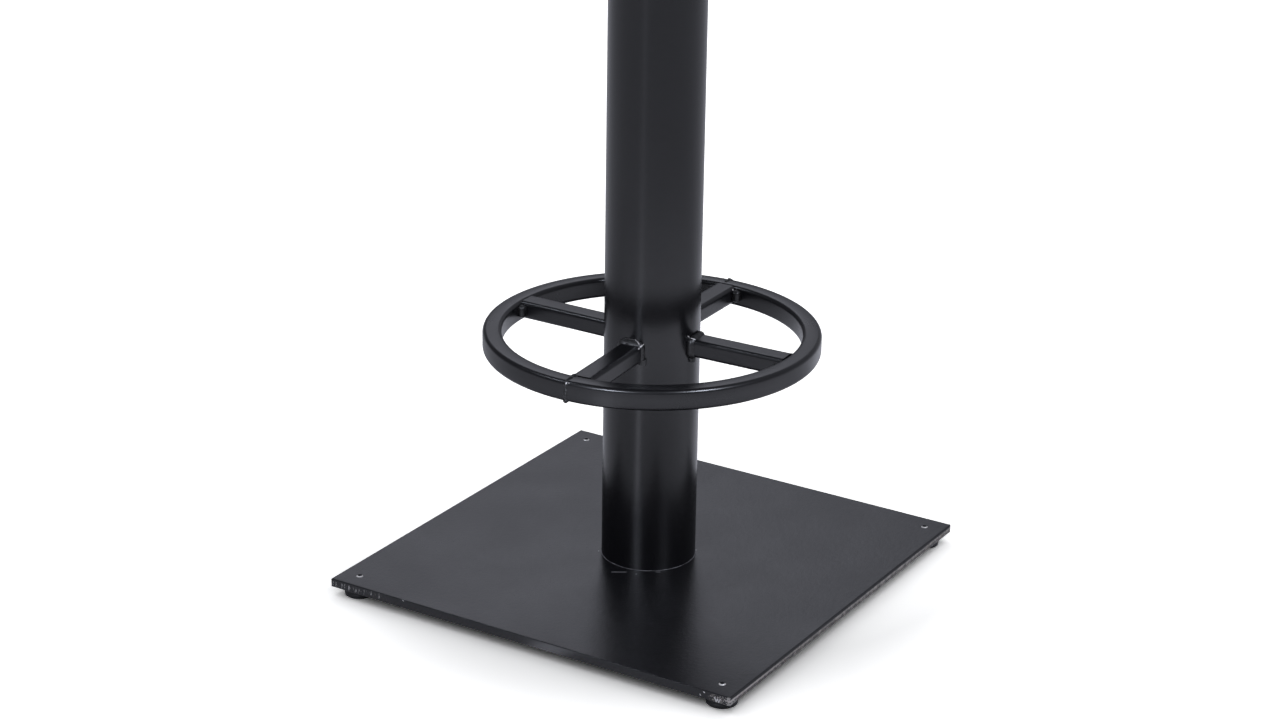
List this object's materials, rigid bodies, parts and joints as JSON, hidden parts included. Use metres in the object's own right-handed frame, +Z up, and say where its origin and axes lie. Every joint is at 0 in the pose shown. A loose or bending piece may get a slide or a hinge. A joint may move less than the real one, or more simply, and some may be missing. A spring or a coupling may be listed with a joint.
{
  "type": "pub table",
  "caption": "Tall pedestal pub table: round top on a round steel column, with a spoked foot ring, a square base plate and screw glides.",
  "frame": {"origin": "on the floor, under the column's axis", "axes": "+Z up along the column; +X and +Y square to the base plate's sides, the foot ring's joints near -Y and +Y"},
  "size_m": [0.6999, 0.7, 1.1],
  "materials": {
    "black_powder_coat": "satin fine-texture black powder coat, worn to bare steel along the base plate's cut edges",
    "painted_weld": "lumpy weld bead under the same black coat, with a few bare silver nicks",
    "zinc_steel": "zinc-plated turned steel",
    "black_nylon": "moulded black nylon, matt",
    "wood_laminate": "walnut-brown wood-grain laminate, satin",
    "black_laminate": "plain black backing laminate, matt",
    "black_edge_band": "black plastic edge band, satin",
    "particle_board": "raw particle board"
  },
  "bodies": {
    "root": {"base_plate": "black_powder_coat", "column_tube": "black_powder_coat", "column_foot_disc": "black_powder_coat", "column_foot_weld": "painted_weld", "column_bolts": "zinc_steel", "foot_ring_half_right": "black_powder_coat", "foot_ring_half_left": "black_powder_coat", "ring_seam_weld_front": "painted_weld", "ring_seam_weld_back": "painted_weld", "foot_ring_spoke_front": "black_powder_coat", "foot_ring_spoke_right": "black_powder_coat", "foot_ring_spoke_back": "black_powder_coat", "foot_ring_spoke_left": "black_powder_coat", "spoke_root_weld_front": "painted_weld", "spoke_root_weld_right": "painted_weld", "spoke_root_weld_back": "painted_weld", "spoke_root_weld_left": "painted_weld", "spoke_tip_welds_front": "painted_weld", "spoke_tip_welds_right": "painted_weld", "spoke_tip_welds_back": "painted_weld", "spoke_tip_welds_left": "painted_weld", "top_plate": "black_powder_coat", "top_plate_weld": "painted_weld", "tabletop_laminate_underside": "black_laminate", "tabletop_core": "particle_board", "tabletop_laminate": "wood_laminate", "tabletop_edge_band": "black_edge_band", "tabletop_screws": "zinc_steel"},
    "glide_pad_front_left": {"glide_pad_front_left": "black_nylon"},
    "glide_stud_front_left": {"glide_stud_front_left": "zinc_steel"},
    "glide_pad_front_right": {"glide_pad_front_right": "black_nylon"},
    "glide_stud_front_right": {"glide_stud_front_right": "zinc_steel"},
    "glide_pad_back_right": {"glide_pad_back_right": "black_nylon"},
    "glide_stud_back_right": {"glide_stud_back_right": "zinc_steel"},
    "glide_pad_back_left": {"glide_pad_back_left": "black_nylon"},
    "glide_stud_back_left": {"glide_stud_back_left": "zinc_steel"}
  },
  "joints": [
    {"name": "glide_height_front_left", "type": "slide", "parent": "root", "child": "glide_pad_front_left", "axis": [0, 0, 1], "range_m": [-0.005, 0.00187]},
    {"name": "glide_turn_front_left", "type": "hinge", "parent": "glide_pad_front_left", "child": "glide_stud_front_left", "pos_m": [-0.228, -0.228, 0.004], "axis": [0, 0, 1], "range_deg": [-1440, 540]},
    {"name": "glide_height_front_right", "type": "slide", "parent": "root", "child": "glide_pad_front_right", "axis": [0, 0, 1], "range_m": [-0.005, 0.00187]},
    {"name": "glide_turn_front_right", "type": "hinge", "parent": "glide_pad_front_right", "child": "glide_stud_front_right", "pos_m": [0.228, -0.228, 0.004], "axis": [0, 0, 1], "range_deg": [-1440, 540]},
    {"name": "glide_height_back_right", "type": "slide", "parent": "root", "child": "glide_pad_back_right", "axis": [0, 0, 1], "range_m": [-0.005, 0.00187]},
    {"name": "glide_turn_back_right", "type": "hinge", "parent": "glide_pad_back_right", "child": "glide_stud_back_right", "pos_m": [0.228, 0.228, 0.004], "axis": [0, 0, 1], "range_deg": [-1440, 540]},
    {"name": "glide_height_back_left", "type": "slide", "parent": "root", "child": "glide_pad_back_left", "axis": [0, 0, 1], "range_m": [-0.005, 0.00187]},
    {"name": "glide_turn_back_left", "type": "hinge", "parent": "glide_pad_back_left", "child": "glide_stud_back_left", "pos_m": [-0.228, 0.228, 0.004], "axis": [0, 0, 1], "range_deg": [-1440, 540]}
  ],
  "couplings": [
    {"joint": "glide_height_front_left", "follows": "glide_turn_front_left", "m_per_rad": 0.00019894},
    {"joint": "glide_height_front_right", "follows": "glide_turn_front_right", "m_per_rad": 0.00019894},
    {"joint": "glide_height_back_right", "follows": "glide_turn_back_right", "m_per_rad": 0.00019894},
    {"joint": "glide_height_back_left", "follows": "glide_turn_back_left", "m_per_rad": 0.00019894}
  ]
}
